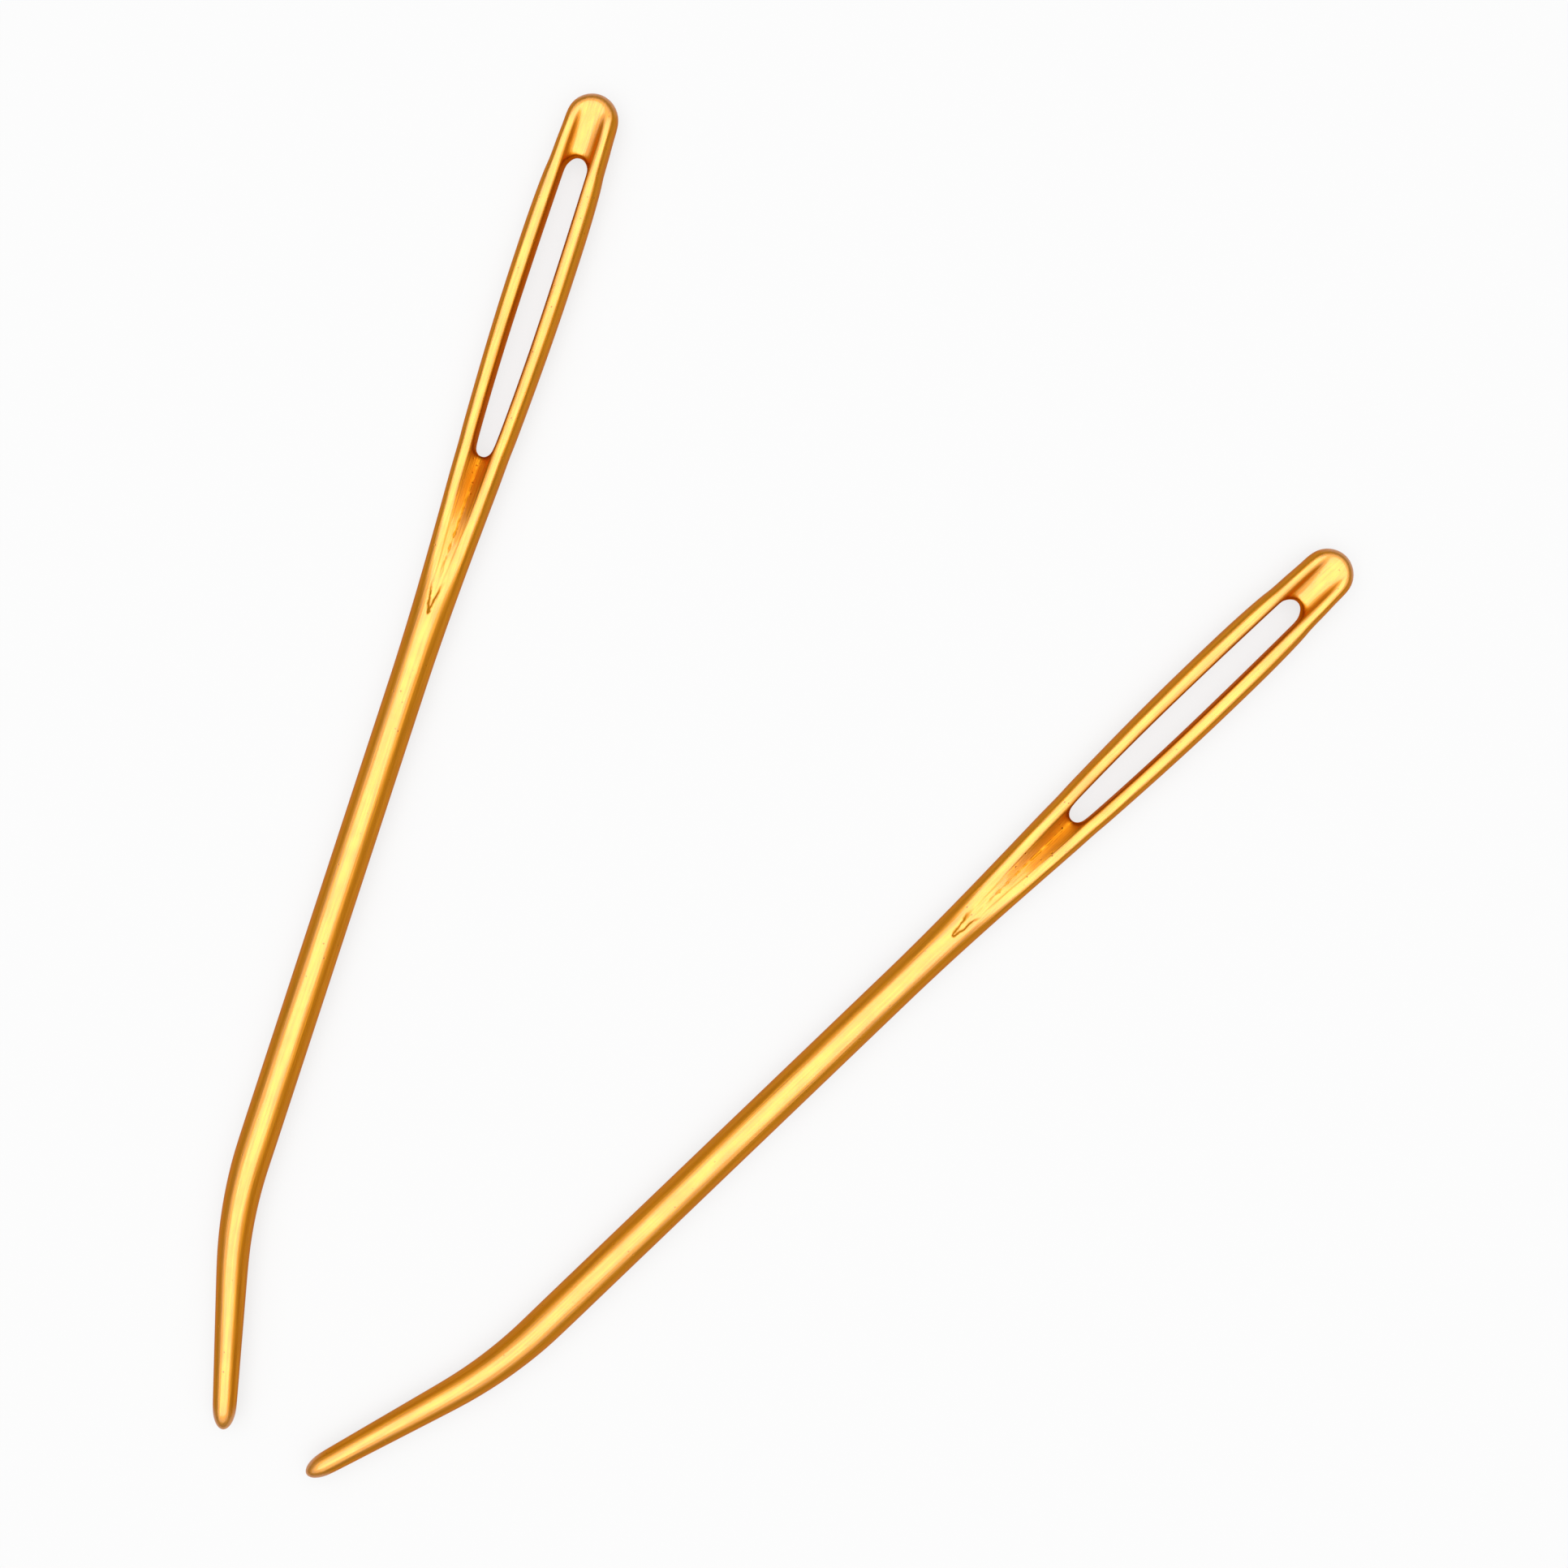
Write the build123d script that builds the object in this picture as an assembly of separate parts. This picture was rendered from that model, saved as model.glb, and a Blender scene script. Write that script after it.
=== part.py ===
from build123d import *
import math
import os

# Wire and overall length of one needle, in millimetres, measured along its straight shaft
needle_length = 88.3
shaft_diameter = 2.4

# Bent tip: a tapering arc, then a straight taper with a blunt rounded nose
bend_angle = 15.0
bend_radius = 29.0
tip_length = 10.25
tip_root_diameter = 1.97
tip_end_diameter = 1.5
nose_length = 1.5

# Pressed eye: places along the shaft, measured back from the head end
flare_from_head = 39.7
gutter_from_head = 35.0
slot_foot_from_head = 24.3
widest_from_head = 12.4
slot_top_from_head = 4.2

# Pressed eye: widths across, and thickness through
eye_width = 4.1
eye_thickness = 1.9
head_end_radius = 1.7
slot_width = 1.75
slot_end_width = 1.3
web_thickness = 0.6
gutter_root_width = 0.3
cut_overrun = 1.0

# How the two needles lie: middle of each shaft line, and the way its head points
left_middle_x = -25.3
left_middle_y = 2.1
left_heading = 71.86
right_middle_x = 4.1
right_middle_y = -15.9
right_heading = 43.78

# Shape of the pressing, and how many sections carry each stretch of it
crown_power = 4
crest_angle = 60.0
round_share = 0.5523
crest_share = 1.2
valley_share = 0.72
bend_steps = 4
flare_steps = 2
gutter_steps = 5
limb_steps = 5
head_steps = 4
halvings = 30

half_turn = 180.0
quarter_turn = 90.0

# Places on the needle's own Y axis, which runs from tip to head with zero at mid length
shaft_radius = shaft_diameter / 2
head_end = needle_length / 2
tip_end = -needle_length / 2
flare_start = head_end - flare_from_head
gutter_start = head_end - gutter_from_head
slot_foot = head_end - slot_foot_from_head
widest = head_end - widest_from_head
slot_top = head_end - slot_top_from_head
shoulder = head_end - head_end_radius
slot_end_radius = slot_end_width / 2
limb_start = slot_foot + slot_end_radius
limb_end = slot_top - slot_end_radius
bend_rise = bend_radius * math.sin(math.radians(bend_angle))
bend_start = tip_end + bend_rise + tip_length * math.cos(math.radians(bend_angle))


def ease(share):
    """Smooth step from 0 to 1, level at both ends."""
    held = min(max(share, 0), 1)
    return held * held * (3 - 2 * held)


def bend_plane(share):
    """Plane across the wire at a share of the bend, facing along the wire towards the tip."""
    angle = math.radians(bend_angle * share)
    across = bend_radius * (1 - math.cos(angle))
    along = bend_start - bend_radius * math.sin(angle)
    facing = (math.sin(angle), -math.cos(angle), 0)
    return Plane(origin=(across, along, 0), x_dir=(0, 0, 1), z_dir=facing)


def make_wire():
    """Straight round wire between the bend and the flare of the eye."""
    return bend_plane(0) * Cylinder(
        shaft_radius, flare_start - bend_start, align=(Align.CENTER, Align.CENTER, Align.MAX)
    )


def make_bend():
    """Arc of wire that tapers from the shaft to the root of the tip."""
    circles = []
    for step in range(bend_steps + 1):
        share = step / bend_steps
        diameter = shaft_diameter + (tip_root_diameter - shaft_diameter) * share
        circles.append(bend_plane(share) * Circle(diameter / 2))
    return loft(circles, ruled=True)


def make_tip():
    """Straight taper with a blunt rounded nose, turned about the axis of the bent end."""
    nose_start = tip_length - nose_length
    edge = tip_end_diameter / 2
    root = tip_root_diameter / 2
    nose = Bezier(
        (edge, nose_start),
        (edge, nose_start + nose_length * round_share),
        (edge * round_share, tip_length),
        (0, tip_length),
    )
    sides = [Line((0, tip_length), (0, 0)), Line((0, 0), (root, 0)), Bezier((root, 0), (edge, nose_start))]
    turned = revolve(make_face([*sides, nose]), Axis.Y)
    return bend_plane(1) * Rotation(quarter_turn, 0, 0) * turned


def half_width(place):
    """Half the width of the pressed end at a place on the axis."""
    if place < widest:
        growth = ease((place - flare_start) / (widest - flare_start))
        return shaft_radius + (eye_width / 2 - shaft_radius) * growth
    share = (place - widest) / (shoulder - widest)
    fall = share**crown_power * (crown_power + 1 - crown_power * share)
    return eye_width / 2 - (eye_width / 2 - head_end_radius) * fall


def half_thickness(place):
    """Half the thickness of the pressed end at a place on the axis."""
    share = (place - flare_start) / (slot_foot - flare_start)
    return shaft_radius + (eye_thickness / 2 - shaft_radius) * ease(share)


def gutter_half_width(place):
    """Half the width of the gutter's floor, which is as wide as the slot at the middle of the slot."""
    middle = (slot_foot + slot_top) / 2
    reach = middle - gutter_start if place < middle else head_end - middle
    bow = math.cos(math.pi / 2 * min(abs(place - middle) / reach, 1))
    root = gutter_root_width / 2
    return root + (slot_width / 2 - root) * bow


def gutter_share(place):
    """How far the gutter is pressed in: not at all at its two ends, fully along the slot."""
    rising = ease((place - gutter_start) / (slot_foot - gutter_start))
    falling = ease((shoulder - place) / (shoulder - slot_top))
    return min(rising, falling)


def ellipse_arc(outer, top, start, end):
    """Four control points of an arc of the ellipse with half axes outer and top, angles in radians."""
    reach = 4 / 3 * math.tan((end - start) / 4)
    first = (outer * math.cos(start), top * math.sin(start))
    last = (outer * math.cos(end), top * math.sin(end))
    leaving = (first[0] - reach * outer * math.sin(start), first[1] + reach * top * math.cos(start))
    arriving = (last[0] + reach * outer * math.sin(end), last[1] - reach * top * math.cos(end))
    return [first, leaving, arriving, last]


def plain_quarter(place):
    """Upper right quarter of a section before the gutter is pressed: two arcs of an ellipse."""
    outer = half_width(place)
    top = half_thickness(place)
    return [
        *ellipse_arc(outer, top, 0, math.radians(crest_angle)),
        *ellipse_arc(outer, top, math.radians(crest_angle), math.pi / 2),
    ]


def pressed_quarter(place):
    """Upper right quarter of a section with the gutter right in: a round limb, then a smooth valley."""
    outer = half_width(place)
    top = half_thickness(place)
    inner = gutter_half_width(place)
    floor = web_thickness / 2
    limb = (outer - inner) / 2
    crest = inner + limb
    flank = [(outer, 0), (outer, top * round_share), (crest + limb * round_share, top), (crest, top)]
    valley = [(crest, top), (crest - limb * crest_share, top), (inner + limb * valley_share, floor), (0, floor)]
    return [*flank, *valley]


def between(start, end, share):
    """Point at a share of the way from start to end."""
    return tuple(low + (high - low) * share for low, high in zip(start, end))


def first_part(curve, share):
    """Control points of a curve's first part, up to a share of it, by halving its polygon at that share."""
    kept = [curve[0]]
    while len(curve) > 1:
        curve = [between(start, end, share) for start, end in zip(curve, curve[1:])]
        kept.append(curve[0])
    return kept


def halves(curve):
    """Control points of the two halves of a curve."""
    second = first_part(curve[::-1], 1 / 2)
    return [first_part(curve, 1 / 2), second[::-1]]


def quarter_points(place):
    """Control points of a quarter section, from its outer edge over the limb to the middle of the gutter."""
    pressed = gutter_share(place)
    pairs = zip(plain_quarter(place), pressed_quarter(place))
    return [between(plain, deep, pressed) for plain, deep in pairs]


def section_curves(place):
    """Twelve smooth curves round a section, anticlockwise from its right edge: a quarter, mirrored."""
    quarter = quarter_points(place)
    curves = [quarter[:4], *halves(quarter[4:])]
    left = [[(-x, z) for x, z in reversed(curve)] for curve in reversed(curves)]
    upper = [*curves, *left]
    lower = [[(-x, -z) for x, z in curve] for curve in upper]
    return [Bezier(*curve) for curve in [*upper, *lower]]


def neck_curves():
    """Twelve arcs of the shaft's own circle, parted where the curves of the other sections are."""
    valley_angle = (crest_angle + quarter_turn) / 2
    angles = [0, crest_angle, valley_angle, quarter_turn, half_turn - valley_angle, half_turn - crest_angle]
    angles = [*angles, *[angle + half_turn for angle in angles], 2 * half_turn]
    return [CenterArc((0, 0), shaft_radius, start, end - start) for start, end in zip(angles, angles[1:])]


def section(place):
    """Closed section of the pressed end at a place on the axis, round where it leaves the shaft."""
    curves = neck_curves() if place == flare_start else section_curves(place)
    return across_axis(place) * make_face(curves)


def across_axis(place):
    """Plane across the shaft at a place on the axis, facing the tip."""
    return Plane(origin=(0, place, 0), x_dir=(1, 0, 0), z_dir=(0, -1, 0))


def spread(start, end, steps):
    """Evenly spaced places after start, the last one at end."""
    return [start + (end - start) * step / steps for step in range(1, steps + 1)]


def make_pressed(places):
    """Stretch of the pressed end through its sections at these places."""
    return loft([section(place) for place in places], ruled=True)


def make_rounded_end():
    """Round end beyond the shoulder: the edge of the shoulder's section carried round half a turn."""
    curves = section_curves(shoulder)
    right = [*curves[-3:], *curves[:3]]
    middle = Line(right[-1] @ 1, right[0] @ 0)
    half = across_axis(shoulder) * make_face([*right, middle])
    return revolve(half, Axis((0, shoulder, 0), (0, 0, 1)), revolution_arc=half_turn)


def slot_half_width(place):
    """Half the width of the slot at a place beside the limbs: bowed, and narrowest at both ends."""
    middle = (limb_start + limb_end) / 2
    off_middle = (place - middle) / (limb_end - middle)
    return slot_end_radius + (slot_width / 2 - slot_end_radius) * (1 - off_middle**2)


def down_to(curve, across):
    """First part of a valley curve, from the crest down to where it is this far from the middle."""
    low = 0
    high = 1
    for _ in range(halvings):
        share = (low + high) / 2
        if first_part(curve, share)[-1][0] > across:
            low = share
        else:
            high = share
    return first_part(curve, share)


def limb_section(place, side):
    """Closed section of one limb at a place: round outside, sloping inside, with the slot's upright wall."""
    quarter = quarter_points(place)
    upper = [quarter[:4], down_to(quarter[4:], slot_half_width(place))]
    lower = [[(x, -z) for x, z in reversed(curve)] for curve in reversed(upper)]
    wall = [upper[-1][-1], lower[0][0]]
    curves = [[(side * x, z) for x, z in curve] for curve in [*upper, wall, *lower]]
    return across_axis(place) * make_face([Bezier(*curve) for curve in curves])


def make_slot_end(place):
    """Cutter for a round end of the slot, centred at a place on the axis."""
    return Pos(0, place, 0) * Cylinder(slot_end_radius, shaft_diameter + cut_overrun)


def make_shaft():
    """Bent tip, round wire, neck and lower gutter, up to the round foot of the slot."""
    flare = spread(flare_start, gutter_start, flare_steps)
    gutter = spread(gutter_start, limb_start, gutter_steps)
    neck = make_pressed([flare_start, *flare, *gutter])
    return make_tip() + make_bend() + make_wire() + neck - make_slot_end(limb_start)


def make_limb(side):
    """One slender limb beside the slot, on the side that the tip bends towards or, for -1, on the other."""
    places = [limb_start, *spread(limb_start, limb_end, limb_steps)]
    return loft([limb_section(place, side) for place in places], ruled=True)


def make_head():
    """Upper gutter and rounded head, from the round top of the slot."""
    gutter = make_pressed([limb_end, *spread(limb_end, shoulder, head_steps)])
    return gutter + make_rounded_end() - make_slot_end(limb_end)


def make_needle():
    """One needle, its shaft on the Y axis and its eye flat in the XY plane, as regions that meet face to face."""
    return {
        "shaft": make_shaft(),
        "outer_limb": make_limb(-1),
        "inner_limb": make_limb(1),
        "head": make_head(),
    }


def laying(middle_x, middle_y, heading):
    """Place of a needle that lies with its head along heading and the middle of its shaft line there."""
    return Pos(middle_x, middle_y, 0) * Rotation(0, 0, heading - quarter_turn)


def main():
    """Lay the needle and its twin, turned over, centre the pair over the origin and write each region."""
    needle = make_needle()
    places = {
        "left": laying(left_middle_x, left_middle_y, left_heading),
        "right": laying(right_middle_x, right_middle_y, right_heading) * Rotation(0, half_turn, 0),
    }
    laid = {
        f"{side}_{region}": place * solid
        for side, place in places.items()
        for region, solid in needle.items()
    }
    box = Compound(list(laid.values())).bounding_box()
    to_origin = Pos(-box.center().X, -box.center().Y, -box.min.Z)
    os.makedirs("parts", exist_ok=True)
    for node, solid in laid.items():
        export_step(to_origin * solid, f"parts/{node}.step")


main()
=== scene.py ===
"""Dresses a pair of gold bent-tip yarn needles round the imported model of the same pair."""

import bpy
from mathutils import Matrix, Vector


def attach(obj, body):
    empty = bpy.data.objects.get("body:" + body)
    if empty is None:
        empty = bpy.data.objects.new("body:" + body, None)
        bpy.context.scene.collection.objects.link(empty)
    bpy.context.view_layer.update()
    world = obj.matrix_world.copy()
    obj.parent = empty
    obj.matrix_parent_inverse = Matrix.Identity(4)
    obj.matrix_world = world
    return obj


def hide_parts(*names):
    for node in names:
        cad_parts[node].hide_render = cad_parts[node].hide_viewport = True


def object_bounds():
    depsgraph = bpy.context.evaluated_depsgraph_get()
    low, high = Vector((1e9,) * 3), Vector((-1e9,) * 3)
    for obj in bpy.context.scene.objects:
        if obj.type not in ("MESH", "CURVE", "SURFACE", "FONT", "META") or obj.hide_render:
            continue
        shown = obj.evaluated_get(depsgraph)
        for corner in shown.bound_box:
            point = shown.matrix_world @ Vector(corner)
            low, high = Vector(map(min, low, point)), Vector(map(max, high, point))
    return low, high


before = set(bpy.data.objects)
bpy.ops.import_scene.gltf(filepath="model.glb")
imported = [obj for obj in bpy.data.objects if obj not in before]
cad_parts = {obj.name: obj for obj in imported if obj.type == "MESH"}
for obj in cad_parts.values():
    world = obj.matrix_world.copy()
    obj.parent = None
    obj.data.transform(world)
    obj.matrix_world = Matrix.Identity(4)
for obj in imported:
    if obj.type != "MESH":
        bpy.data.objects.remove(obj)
CAD_BOX = [list(corner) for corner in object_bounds()]

import logging
import math
from dataclasses import dataclass, field
from enum import Enum
from typing import Callable, Iterable

import bmesh
import bpy
from mathutils import Matrix, Vector

MILLIMETRE = 0.001
HALF_TURN = math.pi
QUARTER_TURN = math.pi / 2

log = logging.getLogger("needles")


class Side(Enum):
    """Which needle of the pair, by the body that it rides on."""

    LEFT = "left_needle"
    RIGHT = "right_needle"


class Mark(Enum):
    """Values stored on the needle's surface for its finish to read."""

    PLACE = "wire_place"
    # hollow: how deep in the gutter or slot a point lies; the finish paints shade there
    HOLLOW = "hollow"
    # level faces and the two ends: the finish paints a paler highlight there and puts its coat there
    RUB = "rub"


class Operator(Enum):
    """Plain arithmetic of a Math node."""

    ADD = "ADD"
    SUBTRACT = "SUBTRACT"
    MULTIPLY = "MULTIPLY"
    ABSOLUTE = "ABSOLUTE"


@dataclass(frozen=True)
class WireSizes:
    """Sizes of the round wire and its bent tip, in metres and degrees."""

    length: float = 88.3 * MILLIMETRE
    radius: float = 1.2 * MILLIMETRE
    bend_angle: float = 15.0
    bend_radius: float = 29.0 * MILLIMETRE
    tip_length: float = 10.25 * MILLIMETRE
    tip_root_radius: float = 0.985 * MILLIMETRE
    tip_end_radius: float = 0.75 * MILLIMETRE
    nose_length: float = 1.5 * MILLIMETRE

    @property
    def head_end(self) -> float:
        """Place of the head's end on the needle's own Y axis."""
        return self.length / 2

    @property
    def bend_start(self) -> float:
        """Place on the axis where the wire starts to bend.

        Returns:
            The place on the needle's own Y axis.
        """
        turn = math.radians(self.bend_angle)
        rise = self.bend_radius * math.sin(turn)
        return rise + self.tip_length * math.cos(turn) - self.length / 2


@dataclass(frozen=True)
class EyeSizes:
    """Sizes of the pressed eye, in metres, with its places measured back from the head end."""

    flare: float = 39.7 * MILLIMETRE
    gutter: float = 35.0 * MILLIMETRE
    slot_foot: float = 24.3 * MILLIMETRE
    widest: float = 12.4 * MILLIMETRE
    slot_top: float = 4.2 * MILLIMETRE
    half_width: float = 2.05 * MILLIMETRE
    half_thickness: float = 0.95 * MILLIMETRE
    end_radius: float = 1.7 * MILLIMETRE
    slot_half_width: float = 0.875 * MILLIMETRE
    slot_foot_radius: float = 0.65 * MILLIMETRE
    slot_top_radius: float = 0.8 * MILLIMETRE
    web_half_thickness: float = 0.4 * MILLIMETRE
    gutter_root: float = 0.15 * MILLIMETRE
    crown_power: int = 4
    wall_share: float = 0.6
    trough_power: float = 1.2
    gutter_run_out: float = 0.3 * MILLIMETRE
    head_trough_half_width: float = 0.75 * MILLIMETRE
    head_trough_power: float = 1.8
    head_wall_share: float = 0.45


@dataclass(frozen=True)
class Laying:
    """Where a needle lies: the middle of its shaft line, its heading, and whether it is turned over."""

    side: Side
    middle: tuple[float, float]
    heading: float
    turned_over: bool

    def matrix(self, shift: Vector) -> Matrix:
        """Matrix that lays a needle modelled along its own Y axis.

        Args:
            shift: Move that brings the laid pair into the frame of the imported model.

        Returns:
            The matrix to apply to the needle's mesh.
        """
        turn = Matrix.Rotation(math.radians(self.heading) - QUARTER_TURN, 4, "Z")
        over = Matrix.Rotation(HALF_TURN if self.turned_over else 0, 4, "Y")
        return Matrix.Translation(Vector((*self.middle, 0)) + shift) @ turn @ over


def ease(share: float) -> float:
    """Smooth step from 0 to 1, level at both ends.

    Args:
        share: How far along the step, of which only 0 to 1 counts.

    Returns:
        The eased share.
    """
    held = min(max(share, 0), 1)
    return held * held * (3 - 2 * held)


def spread(start: float, end: float, steps: int) -> list[float]:
    """Evenly spaced places after start, the last one at end.

    Args:
        start: Place before the first one.
        end: The last place.
        steps: How many places there are.

    Returns:
        The places in order.
    """
    return [start + (end - start) * step / steps for step in range(1, steps + 1)]


@dataclass
class NeedleMesh:
    """One needle drawn, bent, pressed and pierced along its own Y axis, as a maker would."""

    wire: WireSizes = field(default_factory=WireSizes)
    eye: EyeSizes = field(default_factory=EyeSizes)
    ring_count: int = 32
    shaft_steps: int = 9
    bend_steps: int = 7
    taper_steps: int = 5
    flare_steps: int = 5
    gutter_steps: int = 11
    slot_steps: int = 16
    head_steps: int = 5
    dome_angles: tuple[float, ...] = (18.0, 35.0, 50.0, 63.0, 75.0, 84.0)
    smooth_levels: int = 2
    fold_crease: float = 0.75
    nearness: float = 0.02 * MILLIMETRE
    steep_normal: float = 0.75

    def __post_init__(self) -> None:
        """Work out the places that the sizes give."""
        head = self.wire.head_end
        self.bands = self.ring_count // 4
        self.wall_band = self.bands - 2
        self.flare_start = head - self.eye.flare
        self.gutter_start = head - self.eye.gutter
        self.slot_foot = head - self.eye.slot_foot
        self.slot_top = head - self.eye.slot_top
        self.widest = head - self.eye.widest
        self.shoulder = head - self.eye.end_radius
        self.limb_start = self.slot_foot + self.eye.slot_foot_radius
        self.limb_end = self.slot_top - self.eye.slot_top_radius

    def half_width(self, place: float) -> float:
        """Half the width of the eye at a place on the axis.

        Args:
            place: Place on the needle's own Y axis.

        Returns:
            Half the width there.
        """
        if place > self.shoulder:
            return math.sqrt(max(self.eye.end_radius**2 - (place - self.shoulder) ** 2, 0))
        if place < self.widest:
            growth = ease((place - self.flare_start) / (self.widest - self.flare_start))
            return self.wire.radius + (self.eye.half_width - self.wire.radius) * growth
        share = (place - self.widest) / (self.shoulder - self.widest)
        power = self.eye.crown_power
        fall = share**power * (power + 1 - power * share)
        return self.eye.half_width - (self.eye.half_width - self.eye.end_radius) * fall

    def half_thickness(self, place: float) -> float:
        """Half the thickness of the eye at a place on the axis.

        Args:
            place: Place on the needle's own Y axis.

        Returns:
            Half the thickness there.
        """
        share = (place - self.flare_start) / (self.slot_foot - self.flare_start)
        thickness = self.wire.radius + (self.eye.half_thickness - self.wire.radius) * ease(share)
        if place > self.shoulder:
            thickness *= self.half_width(place) / self.eye.end_radius
        return thickness

    def gutter_half_width(self, place: float) -> float:
        """Half the width of the gutter between its walls, which is the slot's where the slot is.

        Args:
            place: Place on the needle's own Y axis.

        Returns:
            Half the width there.
        """
        middle = (self.slot_foot + self.slot_top) / 2
        if place < middle:
            start, end, root = self.gutter_start, self.limb_start, self.eye.gutter_root
            radius = self.eye.slot_foot_radius
        else:
            start, end, root = self.wire.head_end, self.limb_end, self.eye.head_trough_half_width
            radius = self.eye.slot_top_radius
        if self.limb_start <= place <= self.limb_end:
            off_middle = (place - middle) / (end - middle)
            return radius + (self.eye.slot_half_width - radius) * (1 - off_middle**2)
        share = max((place - start) / (end - start), 0)
        return root + (radius - root) * share

    def wall_height(self, place: float) -> float:
        """Height of the gutter's walls where they meet its trough: high by the limbs, low in the head.

        Args:
            place: Place on the needle's own Y axis.

        Returns:
            The height above the middle of the section.
        """
        nearing = ease((place - self.limb_end) / (self.slot_top - self.limb_end) / 2 + 1 / 2)
        share = self.eye.wall_share + (self.eye.head_wall_share - self.eye.wall_share) * nearing
        floor = self.eye.web_half_thickness
        return floor + (self.half_thickness(place) - floor) * share

    def gutter_share(self, place: float) -> float:
        """How far the gutter is pressed in at a place, from 0 at its ends to 1 along the slot.

        Args:
            place: Place on the needle's own Y axis.

        Returns:
            The share of the full depth.
        """
        rising = ease((place - self.gutter_start) / (self.slot_foot - self.gutter_start))
        run_out = self.wire.head_end - self.eye.gutter_run_out
        short = min(max((place - self.slot_top) / (run_out - self.slot_top), 0), 1)
        return min(rising, 1 - short**3)

    def plain_point(self, place: float, band: int) -> tuple[float, float]:
        """Point of an unpressed section, on its ellipse.

        Args:
            place: Place on the needle's own Y axis.
            band: Number of the point, from 0 at the side to the last at the top.

        Returns:
            Its distance to the side and its height.
        """
        turn = QUARTER_TURN * band / self.bands
        return self.half_width(place) * math.cos(turn), self.half_thickness(place) * math.sin(turn)

    def pressed_point(self, place: float, band: int) -> tuple[float, float]:
        """Point of a fully pressed section: a round limb, a wall and a shallow trough.

        Args:
            place: Place on the needle's own Y axis.
            band: Number of the point, from 0 at the side to the last in the middle of the trough.

        Returns:
            Its distance to the side and its height.
        """
        outer = self.half_width(place)
        top = self.half_thickness(place)
        inner = self.gutter_half_width(place)
        floor = self.eye.web_half_thickness
        wall = self.wall_height(place)
        limb = (outer - inner) / 2
        crest = self.wall_band // 2 + 1
        if band <= crest:
            turn = QUARTER_TURN * band / crest
            return inner + limb + limb * math.cos(turn), top * math.sin(turn)
        if band <= self.wall_band:
            turn = QUARTER_TURN * (band - crest) / (self.wall_band - crest)
            return inner + limb - limb * math.sin(turn), wall + (top - wall) * math.cos(turn)
        past = (band - self.wall_band) / (self.bands - self.wall_band)
        power = self.eye.trough_power if place < self.widest else self.eye.head_trough_power
        sag = floor + (wall - floor) * (1 - past) ** power
        return inner * (1 - past), sag

    def ring_point(self, place: float, band: int) -> tuple[float, float]:
        """Point of the section that the mesh takes at a place.

        Args:
            place: Place on the needle's own Y axis.
            band: Number of the point.

        Returns:
            Its distance to the side and its height.
        """
        pressed = self.gutter_share(place)
        plain = self.plain_point(place, band)
        deep = self.pressed_point(place, band)
        return tuple(flat + (low - flat) * pressed for flat, low in zip(plain, deep))

    def select(self, chosen: Callable[[bmesh.types.BMVert, int], bool]) -> int:
        """Select only the vertices that a test picks out of the mesh being edited.

        Args:
            chosen: Test of a vertex and its band number.

        Returns:
            How many vertices are selected.
        """
        mesh = bmesh.from_edit_mesh(bpy.context.edit_object.data)
        band = mesh.verts.layers.int["band"]
        bpy.ops.mesh.select_all(action="DESELECT")
        count = 0
        for vertex in mesh.verts:
            if chosen(vertex, vertex[band]):
                vertex.select_set(True)
                count += 1
        mesh.select_flush_mode()
        bmesh.update_edit_mesh(bpy.context.edit_object.data, loop_triangles=False, destructive=False)
        return count

    def start_wire(self) -> bpy.types.Object:
        """Add the first length of round wire, with its top end at the flare, and number its bands.

        Returns:
            The new object, left in edit mode.
        """
        bpy.ops.object.select_all(action="DESELECT")
        first = (self.flare_start - self.wire.bend_start) / self.shaft_steps
        bpy.ops.mesh.primitive_cylinder_add(
            vertices=self.ring_count,
            radius=self.wire.radius,
            depth=first,
            end_fill_type="NGON",
            location=(0, self.flare_start - first / 2, 0),
            rotation=(QUARTER_TURN, 0, 0),
        )
        needle = bpy.context.object
        bpy.ops.object.transform_apply(location=True, rotation=True, scale=True)
        numbers = needle.data.attributes.new("band", "INT", "POINT")
        for vertex, number in zip(needle.data.vertices, numbers.data):
            turn = abs(math.atan2(vertex.co.z, vertex.co.x))
            number.value = round(min(turn, HALF_TURN - turn) / QUARTER_TURN * self.bands)
        bpy.ops.object.mode_set(mode="EDIT")
        bpy.ops.mesh.select_mode(type="VERT")
        return needle

    def grow(self, step: Vector) -> None:
        """Extrude the selected end of the wire by a step.

        Args:
            step: The way and distance that the end moves.
        """
        bpy.ops.mesh.extrude_region_move(TRANSFORM_OT_translate={"value": tuple(step)})

    def select_ring(self, place: float, band: int | None = None) -> int:
        """Select the ring at a place on the straight axis, or one band of it.

        Args:
            place: Place on the needle's own Y axis.
            band: Number of the band, or None for the whole ring.

        Returns:
            How many vertices are selected.
        """
        return self.select(
            lambda vertex, number: abs(vertex.co.y - place) < self.nearness and band in (None, number)
        )

    def draw_shaft(self) -> None:
        """Draw the straight wire down to where it bends, a ring at a time."""
        first, *places = spread(self.flare_start, self.wire.bend_start, self.shaft_steps)
        here = first
        self.select_ring(here)
        for place in places:
            self.grow(Vector((0, place - here, 0)))
            here = place

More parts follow.
